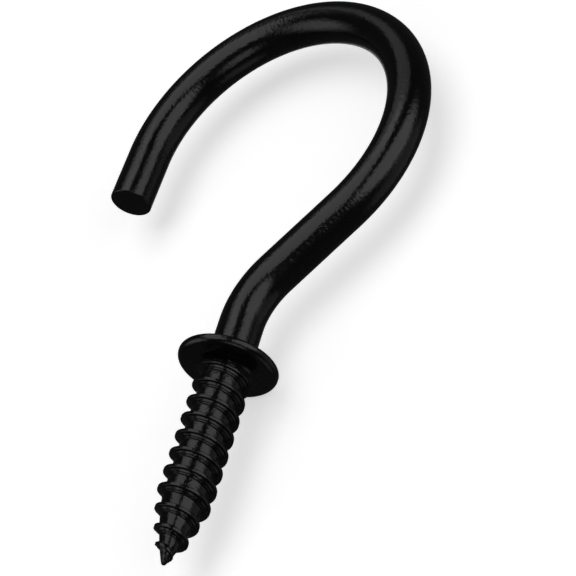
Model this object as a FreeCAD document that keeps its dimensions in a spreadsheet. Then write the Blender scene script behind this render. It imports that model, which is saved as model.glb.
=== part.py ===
import FreeCAD, Part
import math
import os
import Sketcher

# Ceiling hook: one length of round wire, bent to an offset round hook, with an upset collar
# and a rolled wood-screw thread that ends in a gimlet point. Millimetres and degrees.
# The origin is the middle of the collar's seat, +Z runs up the screw into the ceiling,
# and the hook lies in the XZ plane with its mouth towards +X.
SIZES = (
    ("wire_diameter", 4.0, "round wire of the hook"),
    ("shank_length", 4.8, "straight wire from the seat to the offset bend"),
    ("neck_radius", 8.0, "centreline radius of the offset bend"),
    ("neck_angle", 41.0, "degrees turned by the offset bend"),
    ("neck_straight", 8.3, "straight wire between the offset bend and the loop"),
    ("loop_inner_diameter", 24.9, "clear width inside the loop"),
    ("end_lean", 3.0, "degrees that the free end leans outwards"),
    ("end_straight", 5.5, "straight wire at the free end"),
    ("end_chamfer", 0.25, "broken edge of the cut free end"),
    ("collar_diameter", 9.0, "across the collar"),
    ("rim_thickness", 0.9, "collar's thickness at its rim"),
    ("rim_rounding", 0.3, "radius of the rim's edge at the seat"),
    ("rim_chamfer", 0.25, "broken edge of the rim on the hook's side"),
    ("collar_dome", 1.2, "rise of the collar's hook side from rim to axis"),
    ("screw_length", 19.3, "seat to tip"),
    ("core_diameter", 3.75, "screw core between the threads"),
    ("core_flare", 0.7, "rise and reach of the flare between the core and the seat"),
    ("point_length", 6.05, "length of the gimlet point"),
    ("knee_length", 2.7, "tip to the knee, where the point turns steeper"),
    ("knee_diameter", 2.3, "across the core at the knee"),
    ("tip_radius", 0.25, "ball at the very tip"),
    ("thread_diameter", 4.85, "across the thread's crests"),
    ("thread_pitch", 1.75, "one turn"),
    ("thread_crest", 0.25, "flat on the thread's crest"),
    ("thread_flank", 25.0, "degrees between a flank and the radial line"),
    ("thread_bury", 0.15, "depth of the thread's foot inside the core"),
    ("thread_sink", 0.5, "how far the thread runs on inside the collar"),
    ("thread_point_drop", 1.08, "fall of the crest's radius along the point"),
    ("thread_runout", 0.87, "length of the last, sinking part of the thread"),
    ("thread_runout_drop", 0.6, "fall of the crest's radius along that last part"),
    ("thread_bare_tip", 0.95, "tip left bare beyond the thread's end"),
)
value = {name: number for name, number, note in SIZES}

doc = FreeCAD.newDocument("ceiling_hook")
sheet = doc.addObject("Spreadsheet::Sheet", "sizes")
for row, (name, number, note) in enumerate(SIZES, start=1):
    sheet.set(f"A{row}", name)
    sheet.set(f"B{row}", str(number))
    sheet.set(f"C{row}", note)
    sheet.setAlias(f"B{row}", name)
doc.recompute()

body = doc.addObject("PartDesign::Body", "ceiling_hook")
body.Label = "ceiling_hook"
origin = {item.Role: item for item in body.Origin.OriginFeatures}
UP = FreeCAD.Vector(0, 0, 1)
START, END, CENTRE = 1, 2, 3
ROOT = (-1, 1)


def new_sketch(name, plane):
    sketch = body.newObject("Sketcher::SketchObject", name)
    sketch.AttachmentSupport = (origin[plane], [""])
    sketch.MapMode = "FlatFace"
    return sketch


def line(sketch, start, end):
    return sketch.addGeometry(Part.LineSegment(start, end), False)


def arc(sketch, centre, radius, start, end):
    circle = Part.Circle(centre, UP, radius)
    first = math.atan2(start.y - centre.y, start.x - centre.x)
    last = math.atan2(end.y - centre.y, end.x - centre.x)
    return sketch.addGeometry(Part.ArcOfCircle(circle, first, last), False)


def rule(sketch, kind, *where):
    sketch.addConstraint(Sketcher.Constraint(kind, *where))


def drive(sketch, kind, *where, at, by):
    index = sketch.addConstraint(Sketcher.Constraint(kind, *where, at))
    sketch.setExpression(f"Constraints[{index}]", by)


def close_loop(sketch, joints):
    for joint in joints:
        rule(sketch, "Coincident", *joint)


def turn(vector, degrees):
    angle = math.radians(degrees)
    x = vector.x * math.cos(angle) - vector.y * math.sin(angle)
    y = vector.x * math.sin(angle) + vector.y * math.cos(angle)
    return FreeCAD.Vector(x, y, 0)


def point(x, y):
    return FreeCAD.Vector(x, y, 0)


def revolve(kind, name, profile):
    feature = body.newObject(kind, name)
    feature.Profile = profile
    feature.ReferenceAxis = (profile, ["V_Axis"])
    feature.Angle = 360
    profile.Visibility = False
    doc.recompute()
    return feature


def edge_names(feature, test):
    return [f"Edge{n}" for n, edge in enumerate(feature.Shape.Edges, start=1) if test(edge)]


# The wire: a round section swept down the shank, out through the offset bend, round the loop
# and up the free end, each stretch tangent to the last.
wire_radius = value["wire_diameter"] / 2
loop_radius = value["loop_inner_diameter"] / 2 + wire_radius
loop_angle = 180 + value["neck_angle"] - value["end_lean"]

shank_end = point(0, -value["shank_length"])
neck_centre = shank_end + point(-value["neck_radius"], 0)
neck_end = neck_centre + turn(shank_end - neck_centre, -value["neck_angle"])
down = turn(point(0, -1), -value["neck_angle"])
loop_start = neck_end + down * value["neck_straight"]
loop_centre = loop_start + turn(down, 90) * loop_radius
loop_end = loop_centre + turn(loop_start - loop_centre, loop_angle)
free_end = loop_end + turn(down, loop_angle) * value["end_straight"]

path = new_sketch("wire_path", "XZ_Plane")
shank = line(path, point(0, 0), shank_end)
neck = arc(path, neck_centre, value["neck_radius"], neck_end, shank_end)
slope = line(path, neck_end, loop_start)
loop = arc(path, loop_centre, loop_radius, loop_start, loop_end)
tail = line(path, loop_end, free_end)
rule(path, "Coincident", shank, START, *ROOT)
rule(path, "Vertical", shank)
rule(path, "Tangent", shank, END, neck, END)
rule(path, "Tangent", neck, START, slope, START)
rule(path, "Tangent", slope, END, loop, START)
rule(path, "Tangent", loop, END, tail, START)
drive(path, "Distance", shank, at=value["shank_length"], by="sizes.shank_length")
drive(path, "Radius", neck, at=value["neck_radius"], by="sizes.neck_radius")
drive(path, "Angle", neck, at=math.radians(value["neck_angle"]), by="sizes.neck_angle * 1 deg")
drive(path, "Distance", slope, at=value["neck_straight"], by="sizes.neck_straight")
drive(path, "Radius", loop, at=loop_radius, by="(sizes.loop_inner_diameter + sizes.wire_diameter) / 2")
drive(path, "Angle", loop, at=math.radians(loop_angle), by="(180 + sizes.neck_angle - sizes.end_lean) * 1 deg")
drive(path, "Distance", tail, at=value["end_straight"], by="sizes.end_straight")

section = new_sketch("wire_section", "XY_Plane")
ring = section.addGeometry(Part.Circle(point(0, 0), UP, wire_radius), False)
rule(section, "Coincident", ring, CENTRE, *ROOT)
drive(section, "Diameter", ring, at=value["wire_diameter"], by="sizes.wire_diameter")
doc.recompute()

wire = body.newObject("PartDesign::AdditivePipe", "hook_wire")
wire.Profile = section
wire.Spine = (path, [f"Edge{n}" for n in range(1, 6)])
path.Visibility = False
section.Visibility = False
doc.recompute()

# The free end is cropped square, and its edge is broken.
cropped = max((edge.BoundBox.Center.x for edge in wire.Shape.Edges), default=0)
chamfer = body.newObject("PartDesign::Chamfer", "end_break")
chamfer.Base = (wire, edge_names(wire, lambda edge: abs(edge.BoundBox.Center.x - cropped) < 1e-6))
chamfer.setExpression("Size", "sizes.end_chamfer")
doc.recompute()

# The collar: upset out of the wire, flat where it meets the ceiling, rounded at the seat's edge,
# and with a shallow cone on the hook's side.
collar_radius = value["collar_diameter"] / 2
rim = value["rim_thickness"]
rounding = value["rim_rounding"]
seat_edge = point(collar_radius - rounding, 0)
rim_top = point(collar_radius, -rounding)
rim_foot = point(collar_radius, value["rim_chamfer"] - rim)
cone_edge = point(collar_radius - value["rim_chamfer"], -rim)
cone_middle = point(0, -rim - value["collar_dome"])

flange = new_sketch("collar_profile", "XZ_Plane")
axis = line(flange, cone_middle, point(0, 0))
seat = line(flange, point(0, 0), seat_edge)
top_round = arc(flange, point(seat_edge.x, -rounding), rounding, rim_top, seat_edge)
side = line(flange, rim_top, rim_foot)
foot_break = line(flange, rim_foot, cone_edge)
cone = line(flange, cone_edge, cone_middle)
rule(flange, "Coincident", axis, END, *ROOT)
rule(flange, "Vertical", axis)
rule(flange, "Horizontal", seat)
rule(flange, "Vertical", side)
close_loop(flange, [(axis, END, seat, START), (side, END, foot_break, START)])
close_loop(flange, [(foot_break, END, cone, START), (cone, END, axis, START)])
rule(flange, "Tangent", seat, END, top_round, END)
rule(flange, "Tangent", top_round, START, side, START)
drive(flange, "Radius", top_round, at=rounding, by="sizes.rim_rounding")
drive(flange, "DistanceX", *ROOT, side, START, at=collar_radius, by="sizes.collar_diameter / 2")
drive(flange, "DistanceX", foot_break, END, foot_break, START, at=value["rim_chamfer"], by="sizes.rim_chamfer")
drive(flange, "DistanceY", foot_break, END, foot_break, START, at=value["rim_chamfer"], by="sizes.rim_chamfer")
drive(flange, "DistanceY", foot_break, END, *ROOT, at=rim, by="sizes.rim_thickness")
drive(flange, "Distance", axis, at=rim + value["collar_dome"], by="sizes.rim_thickness + sizes.collar_dome")
collar = revolve("PartDesign::Revolution", "collar", flange)

# The screw's core: a plain cylinder from inside the collar to the point, which tapers slowly to
# a knee and then steeper to a small ball at the tip.
core_radius = value["core_diameter"] / 2
core_foot = -rim / 2
point_start = value["screw_length"] - value["point_length"]
ball = value["tip_radius"]
ball_centre = point(0, value["screw_length"] - ball)
shoulder = point(core_radius, point_start)
knee = point(value["knee_diameter"] / 2, value["screw_length"] - value["knee_length"])
reach = ball_centre - knee
lean = math.degrees(math.acos(-ball / reach.Length))
ball_edge = ball_centre + turn(reach / reach.Length, -lean) * ball

stem = new_sketch("core_profile", "XZ_Plane")
axis = line(stem, point(0, value["screw_length"]), point(0, core_foot))
foot = line(stem, point(0, core_foot), point(core_radius, core_foot))
wall = line(stem, point(core_radius, core_foot), shoulder)
taper = line(stem, shoulder, knee)
steep = line(stem, knee, ball_edge)
nose = arc(stem, ball_centre, ball, ball_edge, point(0, value["screw_length"]))
rule(stem, "PointOnObject", axis, END, -2)
rule(stem, "Vertical", axis)
rule(stem, "Horizontal", foot)
rule(stem, "Vertical", wall)
close_loop(stem, [(axis, END, foot, START), (foot, END, wall, START), (wall, END, taper, START)])
rule(stem, "Coincident", taper, END, steep, START)
rule(stem, "Tangent", steep, END, nose, START)
rule(stem, "Coincident", nose, END, axis, START)
rule(stem, "PointOnObject", nose, CENTRE, -2)
drive(stem, "DistanceY", *ROOT, axis, START, at=value["screw_length"], by="sizes.screw_length")
drive(stem, "DistanceY", foot, START, *ROOT, at=rim / 2, by="sizes.rim_thickness / 2")
drive(stem, "Distance", foot, at=core_radius, by="sizes.core_diameter / 2")
drive(stem, "DistanceY", wall, END, axis, START, at=value["point_length"], by="sizes.point_length")
drive(stem, "DistanceY", taper, END, axis, START, at=value["knee_length"], by="sizes.knee_length")
drive(stem, "DistanceX", *ROOT, taper, END, at=value["knee_diameter"] / 2, by="sizes.knee_diameter / 2")
drive(stem, "Radius", nose, at=ball, by="sizes.tip_radius")
core = revolve("PartDesign::Revolution", "screw_core", stem)


def at_core_foot(edge):
    box = edge.BoundBox
    return abs(box.ZMax) < 1e-6 and abs(box.ZMin) < 1e-6 and abs(box.XMax - core_radius) < 1e-6


flare = body.newObject("PartDesign::Chamfer", "core_flare")
flare.Base = (core, edge_names(core, at_core_foot))
flare.setExpression("Size", "sizes.core_flare")
doc.recompute()

# The thread: a ridge section wound on the core in lengths that share their ends: at full size from
# the collar to the point, on a closing cone along the point, in stretches of under one turn, and
# sinking away near the tip. It winds to the left.
LEFT_HANDED = True
HAND = -1 if LEFT_HANDED else 1
JOIN_TOLERANCE = 10
cone_length = value["point_length"] - value["thread_bare_tip"] - value["thread_runout"]
stretches = math.ceil(cone_length / value["thread_pitch"] / 0.7)
crest = value["thread_diameter"] / 2
height = crest - core_radius + value["thread_bury"]
half_crest = value["thread_crest"] / 2
half_foot = half_crest + height * math.tan(math.radians(value["thread_flank"]))
CONE_LENGTH = "(sizes.point_length - sizes.thread_bare_tip - sizes.thread_runout)"
HEIGHT = "((sizes.thread_diameter - sizes.core_diameter) / 2 + sizes.thread_bury)"
FOOT = f"sizes.thread_crest + 2 * tan(sizes.thread_flank * 1 deg) * {HEIGHT}"


def ridge_sketch(name, radius, level, bearing, by_radius, by_level, by_bearing):
    sketch = new_sketch(name, "XZ_Plane")
    sketch.AttachmentOffset = FreeCAD.Placement(point(0, level), FreeCAD.Rotation(point(0, 1), bearing))
    sketch.setExpression("AttachmentOffset.Base.y", by_level)
    sketch.setExpression("AttachmentOffset.Rotation.Angle", by_bearing)
    inner = radius - height
    land = line(sketch, point(-radius, half_crest), point(-radius, -half_crest))
    lower = line(sketch, point(-radius, -half_crest), point(-inner, -half_foot))
    root = line(sketch, point(-inner, -half_foot), point(-inner, half_foot))
    upper = line(sketch, point(-inner, half_foot), point(-radius, half_crest))
    close_loop(sketch, [(land, END, lower, START), (lower, END, root, START), (root, END, upper, START)])
    rule(sketch, "Coincident", upper, END, land, START)
    rule(sketch, "Symmetric", land, START, land, END, -1)
    rule(sketch, "Symmetric", root, START, root, END, -1)
    drive(sketch, "DistanceX", land, START, *ROOT, at=radius, by=by_radius)
    drive(sketch, "DistanceX", land, START, root, END, at=height, by=HEIGHT)
    drive(sketch, "DistanceY", land, END, land, START, at=2 * half_crest, by="sizes.thread_crest")
    drive(sketch, "DistanceY", root, START, root, END, at=2 * half_foot, by=FOOT)
    sketch.Visibility = False
    return sketch


def wind(name, profile, length, angle):
    helix = body.newObject("PartDesign::AdditiveHelix", name)
    helix.Profile = profile
    helix.ReferenceAxis = (profile, ["V_Axis"])
    helix.Mode = "pitch-height-angle"
    helix.LeftHanded = LEFT_HANDED
    helix.Tolerance = JOIN_TOLERANCE
    helix.setExpression("Pitch", "sizes.thread_pitch")
    helix.setExpression("Height", length)
    helix.setExpression("Angle", angle)
    return helix


ridges = []
for n in range(stretches + 1):
    share = n / stretches
    rise = cone_length * share
    by_rise = f"{CONE_LENGTH} * {n} / {stretches}"
    ridges.append(ridge_sketch(
        f"thread_profile_{n}",
        crest - value["thread_point_drop"] * share,
        point_start + rise,
        HAND * 360 * rise / value["thread_pitch"],
        f"sizes.thread_diameter / 2 - sizes.thread_point_drop * {n} / {stretches}",
        f"sizes.screw_length - sizes.point_length + {by_rise}",
        f"{HAND} * 360 deg * {by_rise} / sizes.thread_pitch",
    ))
doc.recompute()

wind("thread_runout", ridges[-1], "sizes.thread_runout", "-atan(sizes.thread_runout_drop / sizes.thread_runout)")
doc.recompute()
for n in reversed(range(stretches)):
    wind(f"thread_on_point_{n}", ridges[n], f"{CONE_LENGTH} / {stretches}",
         f"-atan(sizes.thread_point_drop / {CONE_LENGTH})")
    doc.recompute()
parallel = wind("thread_on_core", ridges[0],
                "sizes.screw_length - sizes.point_length + sizes.thread_sink", "0 deg")
parallel.Reversed = True
doc.recompute()

# Every feature must have built, and the hook must be one sound solid, before it is written.
for item in doc.Objects:
    if "Invalid" in item.State or "Error" in item.State:
        raise RuntimeError(f"{item.Name} did not build: {item.State}")
if body.Shape.isNull() or not body.Shape.isValid() or len(body.Shape.Solids) != 1:
    raise RuntimeError("the hook is not one sound solid")
os.makedirs("parts", exist_ok=True)
body.Shape.exportStep(f"parts/{body.Label}.step")
box = body.Shape.BoundBox
print(f"{body.Label}: volume {body.Shape.Volume:.1f}, faces {len(body.Shape.Faces)}, box"
      f" {box.XMin:.2f}..{box.XMax:.2f}, {box.YMin:.2f}..{box.YMax:.2f}, {box.ZMin:.2f}..{box.ZMax:.2f}")
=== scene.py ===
import math

import bpy
import numpy as np
from mathutils import Matrix, Quaternion, Vector


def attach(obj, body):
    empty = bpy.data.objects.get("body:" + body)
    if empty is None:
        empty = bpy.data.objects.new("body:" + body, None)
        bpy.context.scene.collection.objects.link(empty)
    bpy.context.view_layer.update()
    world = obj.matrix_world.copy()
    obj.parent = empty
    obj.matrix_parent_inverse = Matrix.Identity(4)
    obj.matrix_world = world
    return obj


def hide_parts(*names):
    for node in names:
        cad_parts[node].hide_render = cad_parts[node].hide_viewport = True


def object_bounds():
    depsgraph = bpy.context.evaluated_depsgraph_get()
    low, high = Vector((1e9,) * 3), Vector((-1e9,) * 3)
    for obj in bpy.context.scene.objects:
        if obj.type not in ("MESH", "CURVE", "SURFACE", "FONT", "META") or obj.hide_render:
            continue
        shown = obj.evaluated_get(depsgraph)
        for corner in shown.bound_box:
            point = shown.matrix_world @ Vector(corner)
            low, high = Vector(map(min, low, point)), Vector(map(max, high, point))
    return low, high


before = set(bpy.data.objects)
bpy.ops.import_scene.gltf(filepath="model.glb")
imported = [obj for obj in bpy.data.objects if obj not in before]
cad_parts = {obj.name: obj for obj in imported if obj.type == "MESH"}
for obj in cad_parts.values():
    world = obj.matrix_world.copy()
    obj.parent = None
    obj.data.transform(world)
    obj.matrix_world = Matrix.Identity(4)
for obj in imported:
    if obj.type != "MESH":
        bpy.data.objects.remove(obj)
cad_low, cad_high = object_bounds()
scene = bpy.context.scene

# The bent wire: one length of round steel wire, cold bent from the collar through an offset neck
# into an open loop. Its free end is cropped flat, and the coat rounds the cut edge. Lengths are in
# millimetres; the hook lies in the XZ plane, its front at -Y, and the screw points up +Z.
MM = 0.001
SIDES = 120
WIRE_R = 2.0
SHANK = 4.8
NECK_R = 8.0
NECK_TURN = 41.0
NECK_RUN = 8.3
LOOP_R = 14.45
END_LEAN = 3.0
END_RUN = 5.5
END_ROUND = 0.2
END_LAP = 0.05
END_CLEAR = 0.15
END_RINGS = 12
CAP_RADII = (0.35, 0.8, 1.2, 1.5, 1.7, 1.78)
DOWN = -90.0
end_heading = 90.0 - END_LEAN
around = np.linspace(0.0, 2.0 * math.pi, SIDES, endpoint=False)


def unit(angle):
    """Direction at an angle in degrees: its cosine along the first axis, its sine along the second."""
    swing = np.radians(angle)
    return np.stack([np.cos(swing), np.sin(swing)], -1)


def arc(start, heading, radius, turn, count):
    """Circular bend: its centre is one radius to the side it turns to. Each point is the centre plus
    the radius in the direction back from it, swung on by that point's share of the turn."""
    across = heading + math.copysign(90.0, turn)
    centre = start + radius * unit(across)
    swung = turn * np.linspace(0.0, 1.0, count)
    return centre + radius * unit(across + 180.0 + swung), heading + swung


def run(start, heading, length, count):
    """Straight run: the start plus even steps of the length along the heading."""
    steps = np.linspace(0.0, length, count)
    return start + steps[:, None] * unit(heading), np.full(count, heading)


def wire_rings(centres, headings, radii):
    """Tube along a path in the XZ plane. A ring's point is the path's point, plus the radius times
    the cosine of its angle sideways in that plane, plus the radius times the sine to the front."""
    sideways = unit(headings + 90.0)
    radii = np.asarray(radii)[:, None]
    x = centres[:, :1] + radii * np.cos(around) * sideways[:, :1]
    y = -radii * np.sin(around)
    z = centres[:, 1:] + radii * np.cos(around) * sideways[:, 1:]
    return np.stack([x, y, z], -1)


neck, neck_headings = arc(np.array([0.0, -SHANK]), DOWN, NECK_R, -NECK_TURN, count=34)
slope, slope_headings = run(neck[-1], neck_headings[-1], NECK_RUN, count=24)
loop_turn = end_heading - slope_headings[-1]
loop, loop_headings = arc(slope[-1], slope_headings[-1], LOOP_R, loop_turn, count=180)
tail, tail_headings = run(loop[-1], end_heading, END_RUN, count=18)
path = np.vstack([neck, slope[1:], loop[1:], tail[1:]])
headings = np.concatenate([neck_headings, slope_headings[1:], loop_headings[1:], tail_headings[1:]])
wire_end = path[-1]
clear = np.linalg.norm(path - wire_end, axis=1) > END_ROUND + END_CLEAR
bend_rings = wire_rings(path[clear][::-1], headings[clear][::-1], np.full(clear.sum(), WIRE_R))

cut_edge = END_ROUND * unit(np.linspace(0.0, 90.0, END_RINGS))
end_radii = np.concatenate([CAP_RADII, WIRE_R - END_ROUND + cut_edge[:, 1], [WIRE_R]])
end_backs = np.concatenate([np.zeros(len(CAP_RADII)), cut_edge[:, 0] - END_ROUND, [-END_ROUND - END_LAP]])
end_centres = wire_end + end_backs[:, None] * unit(end_heading)
end_rings = wire_rings(end_centres, np.full(len(end_radii), end_heading), end_radii)

# The collar and the screw's core: upset and turned from the same steel. The collar is a thin disc,
# slightly conical on the hook's side and flat where it seats on the ceiling. The core leaves it in
# a fillet and ends in a swelling gimlet point.
COLLAR_R = 4.5
RIM = 0.9
RIM_ROUND = 0.3
SEAT_ROUND = 0.55
DOME = 1.2
HEEL = 0.35
SCREW = 19.3
CORE_R = 1.875
CORE_FILLET = 0.8
POINT = 6.05
POINT_SWELL = 25.0
TIP_R = 0.25
# Gaps between one stretch of the outline and the next, and the shares of the cone and the rim in use.
SHANK_GAP = 0.35
HEEL_GAP = 0.15
CONE_SPAN = (0.05, 0.96)
RIM_START = 0.6
SEAT_GAP = 0.05
CORE_GAP = 0.2
TIP_GAP = 8.0


def bow(centre, radius, start, stop, count):
    """Arc in an outline: the centre plus the radius in each direction between two angles."""
    return np.asarray(centre) + radius * unit(np.linspace(start, stop, count))


def line(start, stop, count, span=(0.0, 1.0)):
    """Straight stretch of an outline: the start plus even shares, within the span, of the way to stop."""
    share = np.linspace(*span, count)[:, None]
    return np.asarray(start) + share * (np.asarray(stop) - np.asarray(start))


def turned_rings(outline):
    """Turned shape: an outline point of radius r and level z becomes the ring of r times the cosine,
    minus r times the sine, and z, which starts where the wire's rings start."""
    radii = outline[:, :1]
    levels = np.broadcast_to(outline[:, 1:], (len(outline), SIDES))
    return np.stack([radii * np.cos(around), -radii * np.sin(around), levels], -1)


cone_slope = DOME / (COLLAR_R - RIM_ROUND)
cone_lean = math.degrees(math.atan(cone_slope))
cone_foot = -RIM - DOME + cone_slope * WIRE_R
heel_centre = (WIRE_R + HEEL, cone_foot - HEEL / math.tan(math.radians(90.0 + cone_lean) / 2.0))
heel = bow(heel_centre, HEEL, 180.0, 90.0 + cone_lean, count=10)
shank = line((WIRE_R, -SHANK + SHANK_GAP), (WIRE_R, heel_centre[1] - HEEL_GAP), count=8)
cone = line(heel[-1], (COLLAR_R - RIM_ROUND, -RIM), count=8, span=CONE_SPAN)
rim_centre = (COLLAR_R - RIM_ROUND, -RIM + RIM_ROUND)
rim = bow(rim_centre, RIM_ROUND, -90.0 + cone_lean * RIM_START, 0.0, count=12)
seat_edge = bow((COLLAR_R - SEAT_ROUND, -SEAT_ROUND), SEAT_ROUND, 0.0, 90.0, count=16)
seat_outer = COLLAR_R - SEAT_ROUND - SEAT_GAP
seat_inner = CORE_R + CORE_FILLET + SEAT_GAP
seat = line((seat_outer, 0.0), (seat_inner, 0.0), count=10)
root = bow((CORE_R + CORE_FILLET, CORE_FILLET), CORE_FILLET, 270.0, 180.0, count=16)
core_top = SCREW - POINT
core = line((CORE_R, CORE_FILLET + CORE_GAP), (CORE_R, core_top - CORE_GAP), count=36)

shoulder = np.array([CORE_R, core_top])
ball = np.array([0.0, SCREW - TIP_R])
span = np.linalg.norm(ball - shoulder)
ahead = (ball - shoulder) / span
along = (span ** 2 + POINT_SWELL ** 2 - (POINT_SWELL - TIP_R) ** 2) / (2.0 * span)
inward = math.sqrt(POINT_SWELL ** 2 - along ** 2) * np.array([-ahead[1], ahead[0]])
swell_centre = shoulder + along * ahead + inward
swell_start = math.degrees(math.atan2(*(shoulder - swell_centre)[::-1]))
swell_stop = math.degrees(math.atan2(*(ball - swell_centre)[::-1]))
point = bow(swell_centre, POINT_SWELL, swell_start, swell_stop, count=40)
tip = bow(ball, TIP_R, swell_stop + TIP_GAP, 90.0 - TIP_GAP, count=8)
outline = np.vstack([shank, heel, cone, rim, seat_edge, seat, root, core, point, tip])

# The thread: a ridge rolled up from the core, winding to the left. Its crest is a narrow land. The
# flank towards the collar is steep, and the one towards the tip falls in steps, with two small
# lands that the rolling leaves. At the point it draws in, ends in a small spur and sinks away.
CREST_R = 2.465
PITCH = 1.75
PHASE = 0.075
CREST = 0.32
CREST_ROUND = 0.06
CREST_EDGE = (90.0, 68.0, 46.0, 28.0)
# Each fall is a lean from the axis in degrees and a drop.
COLLAR_FALLS = ((74.0, 0.42),)
COLLAR_HOLLOW = 0.1
TIP_FALLS = ((80.0, 0.17), (22.5, 0.07), (80.0, 0.13), (22.5, 0.035), (76.0, 0.11))
TIP_HOLLOW = 0.04
FALL_STEPS = 2
HOLLOW_STEPS = 8
SINK = 0.5
POINT_DROP = 1.08
RUNOUT = 0.87
BARE_TIP = 0.95
# The spur is crest radii at distances past the thread's end. It is drawn along the axis by shifts at
# distances past the core's top.
SPUR = ((0.0, 0.95), (0.3, 0.68), (0.5, 0.2))
SPUR_DRAW = ((3.75, 0.0), (4.5, -0.35), (5.45, 0.0))
TURN_STEPS = 96
FOOT_SINK = 0.006
ROOT_SINK = 0.15
SLIMMEST = 0.02


def flank(falls, fillet):
    """Side of the ridge from the crest's edge to the core: straight falls, each at its own lean from
    the axis, then a hollow fillet that turns the last lean to nothing. It gives the reach along
    the axis and the share of the whole fall."""
    leans = np.radians(np.array([lean for lean, drop in falls]))
    steps = np.repeat([drop / FALL_STEPS for lean, drop in falls], FALL_STEPS)
    swing = np.linspace(leans[-1], 0.0, HOLLOW_STEPS + 1)[1:]
    out = np.cumsum(steps / np.tan(np.repeat(leans, FALL_STEPS)))
    down = np.cumsum(steps)
    hollow_out = out[-1] + fillet * (np.sin(leans[-1]) - np.sin(swing))
    hollow_down = down[-1] + fillet * (np.cos(swing) - np.cos(leans[-1]))
    fall = np.concatenate([[0.0], down, hollow_down])
    return np.concatenate([[0.0], out, hollow_out]), fall / fall[-1]


taper = POINT - BARE_TIP - RUNOUT
thread_end = core_top + taper + RUNOUT
wound = np.arange(-SINK, thread_end + SPUR[-1][0], PITCH / TURN_STEPS)
crest_levels = [-SINK, core_top, core_top + taper] + [thread_end + on for on, radius in SPUR]
crest_radii = [CREST_R, CREST_R, CREST_R - POINT_DROP] + [radius for on, radius in SPUR]
crest_at = np.interp(wound, crest_levels, crest_radii)
drawn = np.interp(wound, [core_top + on for on, shift in SPUR_DRAW], [shift for on, shift in SPUR_DRAW])
level_at = wound + drawn
screw_rows = np.vstack([root, core, point, tip])
turned = math.pi - 2.0 * math.pi * (wound - core_top - PHASE) / PITCH


def ridge_side(side, reach, share):
    """One side of the ridge, from the middle of the crest down into the core: a quarter-round edge,
    the flank between the crest and the core's radius at its foot, and a buried last column."""
    edge = CREST_ROUND * unit(np.array(CREST_EDGE))
    out = np.concatenate([CREST / 2.0 - CREST_ROUND + edge[:, 0], CREST / 2.0 + reach])
    out = np.append(out, out[-1])
    foot = np.interp(level_at + side * out[-1], screw_rows[:, 1], screw_rows[:, 0]) - FOOT_SINK
    top = crest_at - CREST_ROUND
    radii = np.hstack([
        crest_at[:, None] - CREST_ROUND + edge[:, 1],
        top[:, None] + (foot - top)[:, None] * share,
        foot[:, None] - ROOT_SINK,
    ])
    return level_at[:, None] + side * out, radii


collar_side = ridge_side(-1.0, *flank(COLLAR_FALLS, COLLAR_HOLLOW))
tip_side = ridge_side(1.0, *flank(TIP_FALLS, TIP_HOLLOW))
ridge_z = np.minimum(np.hstack([collar_side[0][:, ::-1], tip_side[0]]), SCREW - TIP_R)
ridge_r = np.maximum(np.hstack([collar_side[1][:, ::-1], tip_side[1]]), SLIMMEST)
ridge = np.stack([ridge_r * np.cos(turned)[:, None], ridge_r * np.sin(turned)[:, None], ridge_z], -1)

# The whole hook, in its black coat: wire, collar and core are one closed skin, the thread a closed
# ridge set into it. The coat is a deep black enamel over all of it, with a fine orange peel that
# frays the edges of reflections, and a gloss and tone that drift a little from place to place.
COAT_TONES = ((0.0015, 0.0015, 0.0015, 1.0), (0.003, 0.003, 0.003, 1.0))
COAT_ROUGHNESS = (0.115, 0.165)
COAT_IOR = 1.5
DRIFT_SCALE = 420.0
DRIFT_DETAIL = 2.0
DRIFT_RANGE = (0.3, 0.7)
PEEL_SCALE = 3600.0
PEEL_DETAIL = 2.5
PEEL_DEPTH = 0.03 * MM
SHARP_EDGE = 50.0


def ring_quads(grid):
    """Faces between neighbouring rings: a ring's point, the next round it, and both of the next ring."""
    near = grid[:-1]
    far = grid[1:]
    return np.stack([near, np.roll(near, -1, 1), np.roll(far, -1, 1), far], 2).reshape(-1, 4)


skin = np.concatenate([end_rings, bend_rings, turned_rings(outline)])
poles = [[wire_end[0], 0.0, wire_end[1]], [0.0, 0.0, SCREW]]
skin_grid = np.arange(skin.shape[0] * SIDES).reshape(-1, SIDES)
ridge_start = skin_grid.size + len(poles)
ridge_grid = ridge_start + np.arange(ridge.shape[0] * ridge.shape[1]).reshape(ridge.shape[:2])
points = np.vstack([skin.reshape(-1, 3), poles, ridge.reshape(-1, 3)]) * MM
end_pole = np.full(SIDES, skin_grid.size)
end_fan = np.stack([end_pole, np.roll(skin_grid[0], -1), skin_grid[0]], 1)
tip_fan = np.stack([end_pole + 1, skin_grid[-1], np.roll(skin_grid[-1], -1)], 1)
faces = ring_quads(skin_grid).tolist() + end_fan.tolist() + tip_fan.tolist()
faces += ring_quads(ridge_grid)[:, ::-1].tolist()
faces += [ridge_grid[0].tolist(), ridge_grid[-1][::-1].tolist()]
mesh = bpy.data.meshes.new("hook_enamelled")
mesh.from_pydata(points.tolist(), [], faces)
mesh.validate()
mesh.polygons.foreach_set("use_smooth", np.ones(len(mesh.polygons), bool))
mesh.set_sharp_from_angle(angle=math.radians(SHARP_EDGE))
mesh.update()
hook = bpy.data.objects.new("hook_enamelled", mesh)
scene.collection.objects.link(hook)

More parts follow.
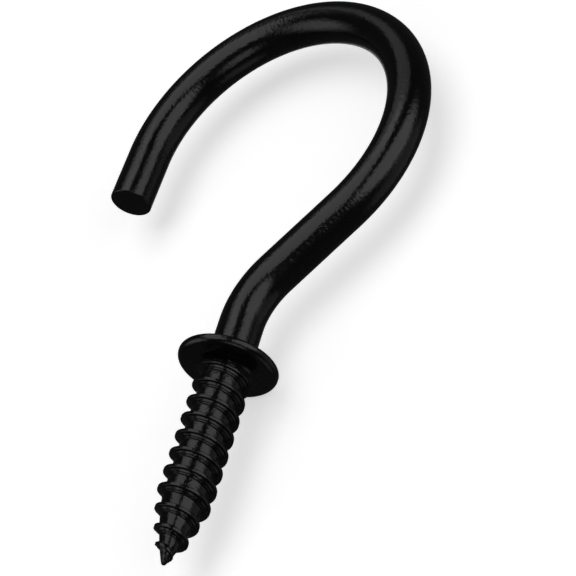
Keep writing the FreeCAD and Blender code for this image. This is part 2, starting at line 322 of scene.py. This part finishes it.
enamel = bpy.data.materials.new("black_enamel")
enamel.use_nodes = True
nodes = enamel.node_tree.nodes
links = enamel.node_tree.links
coat = nodes["Principled BSDF"]
coat.inputs["IOR"].default_value = COAT_IOR
where = nodes.new("ShaderNodeTexCoord")
drift = nodes.new("ShaderNodeTexNoise")
drift.inputs["Scale"].default_value = DRIFT_SCALE
drift.inputs["Detail"].default_value = DRIFT_DETAIL
links.new(where.outputs["Object"], drift.inputs["Vector"])
gloss = nodes.new("ShaderNodeMapRange")
gloss.inputs["From Min"].default_value = DRIFT_RANGE[0]
gloss.inputs["From Max"].default_value = DRIFT_RANGE[1]
gloss.inputs["To Min"].default_value = COAT_ROUGHNESS[0]
gloss.inputs["To Max"].default_value = COAT_ROUGHNESS[1]
links.new(drift.outputs["Fac"], gloss.inputs["Value"])
links.new(gloss.outputs["Result"], coat.inputs["Roughness"])
tone = nodes.new("ShaderNodeMix")
tone.data_type = "RGBA"
tone.inputs["A"].default_value = COAT_TONES[0]
tone.inputs["B"].default_value = COAT_TONES[1]
links.new(drift.outputs["Fac"], tone.inputs["Factor"])
links.new(tone.outputs["Result"], coat.inputs["Base Color"])
peel = nodes.new("ShaderNodeTexNoise")
peel.inputs["Scale"].default_value = PEEL_SCALE
peel.inputs["Detail"].default_value = PEEL_DETAIL
links.new(where.outputs["Object"], peel.inputs["Vector"])
bump = nodes.new("ShaderNodeBump")
bump.inputs["Strength"].default_value = 1.0
bump.inputs["Distance"].default_value = PEEL_DEPTH
links.new(peel.outputs["Fac"], bump.inputs["Height"])
links.new(bump.outputs["Normal"], coat.inputs["Normal"])
mesh.materials.append(enamel)
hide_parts("ceiling_hook")
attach(hook, "root")

# The backdrop: a white paper sheet right behind the hook, which takes its soft shadow and is clear
# from its back. The studio round it is dim, and white only where the camera looks at it.
SHEET_X = (-60.0, 65.0)
SHEET_Y = 4.55
SHEET_Z = (-85.0, 62.0)
SHEET_WHITE = (0.85, 0.85, 0.85, 1.0)
SHEET_GLOW = 0.555
WHITE = (1.0, 1.0, 1.0, 1.0)
STUDIO_DIM = 0.03
corners = [(SHEET_X[i], SHEET_Y, SHEET_Z[j]) for i, j in ((0, 0), (1, 0), (1, 1), (0, 1))]
sheet_mesh = bpy.data.meshes.new("backdrop")
sheet_mesh.from_pydata((np.array(corners) * MM).tolist(), [], [(0, 1, 2, 3)])
sheet = bpy.data.objects.new("backdrop", sheet_mesh)
scene.collection.objects.link(sheet)
sheet.visible_glossy = False
sheet.visible_shadow = False
paper = bpy.data.materials.new("backdrop_white")
paper.use_nodes = True
nodes = paper.node_tree.nodes
links = paper.node_tree.links
white = nodes["Principled BSDF"]
white.inputs["Base Color"].default_value = SHEET_WHITE
white.inputs["Roughness"].default_value = 1.0
white.inputs["Specular IOR Level"].default_value = 0.0
white.inputs["Emission Color"].default_value = WHITE
white.inputs["Emission Strength"].default_value = SHEET_GLOW
clear_back = nodes.new("ShaderNodeBsdfTransparent")
facing = nodes.new("ShaderNodeNewGeometry")
sides = nodes.new("ShaderNodeMixShader")
links.new(facing.outputs["Backfacing"], sides.inputs["Fac"])
links.new(white.outputs["BSDF"], sides.inputs[1])
links.new(clear_back.outputs["BSDF"], sides.inputs[2])
links.new(sides.outputs["Shader"], nodes["Material Output"].inputs["Surface"])
sheet_mesh.materials.append(paper)

world = bpy.data.worlds.new("studio")
scene.world = world
world.use_nodes = True
nodes = world.node_tree.nodes
links = world.node_tree.links
dim = nodes["Background"]
dim.inputs["Color"].default_value = WHITE
dim.inputs["Strength"].default_value = STUDIO_DIM
bright = nodes.new("ShaderNodeBackground")
bright.inputs["Color"].default_value = WHITE
bright.inputs["Strength"].default_value = 1.0
ray = nodes.new("ShaderNodeLightPath")
seen = nodes.new("ShaderNodeMixShader")
links.new(ray.outputs["Is Camera Ray"], seen.inputs["Fac"])
links.new(dim.outputs["Background"], seen.inputs[1])
links.new(bright.outputs["Background"], seen.inputs[2])
links.new(seen.outputs["Shader"], nodes["World Output"].inputs["Surface"])

# The lamps: softboxes whose reflections make the twin stripes along the wire, each with a wider and
# dimmer one round it for a soft edge, and three weak ones behind, which show the shape of the back.
# The last is there for the sheet, and the coat doesn't mirror it.
LAMP_DISTANCE = 0.6
# Each row: name, shape, degrees to the right of and above the front, half the angle that it spans in
# width and in height, its turn in its own plane, its brightness, and whether the coat mirrors it.
LAMPS = (
    ("key", "RECTANGLE", 5.0, -6.0, 22.5, 31.0, 17.0, 0.97, True),
    ("key_foot", "ELLIPSE", 13.0, -46.0, 25.0, 16.0, 0.0, 0.35, True),
    ("side", "ELLIPSE", -62.0, -8.0, 26.0, 33.0, -36.0, 0.8, True),
    ("side_soft", "ELLIPSE", -67.0, -9.0, 30.0, 37.0, -36.0, 0.22, True),
    ("upper", "ELLIPSE", 54.0, 27.0, 19.0, 16.0, 0.0, 0.45, True),
    ("upper_soft", "ELLIPSE", 55.0, 28.0, 29.0, 25.0, 0.0, 0.3, True),
    ("top", "ELLIPSE", -42.0, 61.0, 14.0, 13.0, 0.0, 0.4, True),
    ("top_soft", "ELLIPSE", -45.0, 60.0, 20.0, 18.0, 0.0, 0.3, True),
    ("back", "ELLIPSE", 141.0, -33.0, 18.0, 18.0, 0.0, 0.32, True),
    ("back_side", "ELLIPSE", -124.0, -8.0, 26.0, 26.0, 0.0, 0.16, True),
    ("back_top", "ELLIPSE", 208.0, 48.0, 20.0, 16.0, 0.0, 0.2, True),
    ("sheet_fill", "ELLIPSE", 6.0, -11.0, 23.0, 23.0, 0.0, 0.65, False),
)
middle = (cad_low + cad_high) / 2.0
for name, shape, azimuth, elevation, half_wide, half_high, tilt, brightness, mirrored in LAMPS:
    flat, up = unit(elevation)
    front, right = unit(azimuth)
    toward = Vector((right * flat, -front * flat, up))
    lamp = bpy.data.lights.new(name, "AREA")
    lamp.shape = shape
    lamp.size = 2.0 * LAMP_DISTANCE * math.tan(math.radians(half_wide))
    lamp.size_y = 2.0 * LAMP_DISTANCE * math.tan(math.radians(half_high))
    filled = 1.0 if shape == "RECTANGLE" else math.pi / 4.0
    lamp.energy = brightness * math.pi * lamp.size * lamp.size_y * filled
    holder = bpy.data.objects.new(name, lamp)
    holder.location = middle + LAMP_DISTANCE * toward
    holder.rotation_mode = "QUATERNION"
    roll = Quaternion((0.0, 0.0, 1.0), math.radians(tilt))
    holder.rotation_quaternion = toward.to_track_quat("Z", "Y") @ roll
    holder.visible_camera = False
    holder.visible_glossy = mirrored
    scene.collection.objects.link(holder)

# The camera: a long lens to the left of the front and above the tip, turned so that the screw points
# down to the left of the picture.
CAMERA_LENS = 157.13
CAMERA_SENSOR = 36.0
CAMERA_CLIP = (0.01, 10.0)
CAMERA_PLACE = (-0.125713, -0.139241, 0.107622)
CAMERA_RIGHT = (-0.822999, 0.506867, -0.256432)
CAMERA_UP = (-0.105557, -0.580033, -0.807725)
CAMERA_BACK = (-0.558148, -0.637689, 0.530870)
camera_data = bpy.data.cameras.new("camera")
camera_data.sensor_width = CAMERA_SENSOR
camera_data.lens = CAMERA_LENS
camera_data.clip_start = CAMERA_CLIP[0]
camera_data.clip_end = CAMERA_CLIP[1]
camera = bpy.data.objects.new("camera", camera_data)
aim = Matrix((CAMERA_RIGHT, CAMERA_UP, CAMERA_BACK)).transposed().to_4x4()
aim.translation = Vector(CAMERA_PLACE)
camera.matrix_world = aim
scene.collection.objects.link(camera)
scene.camera = camera

scene.view_settings.view_transform = "Standard"
bpy.context.view_layer.update()
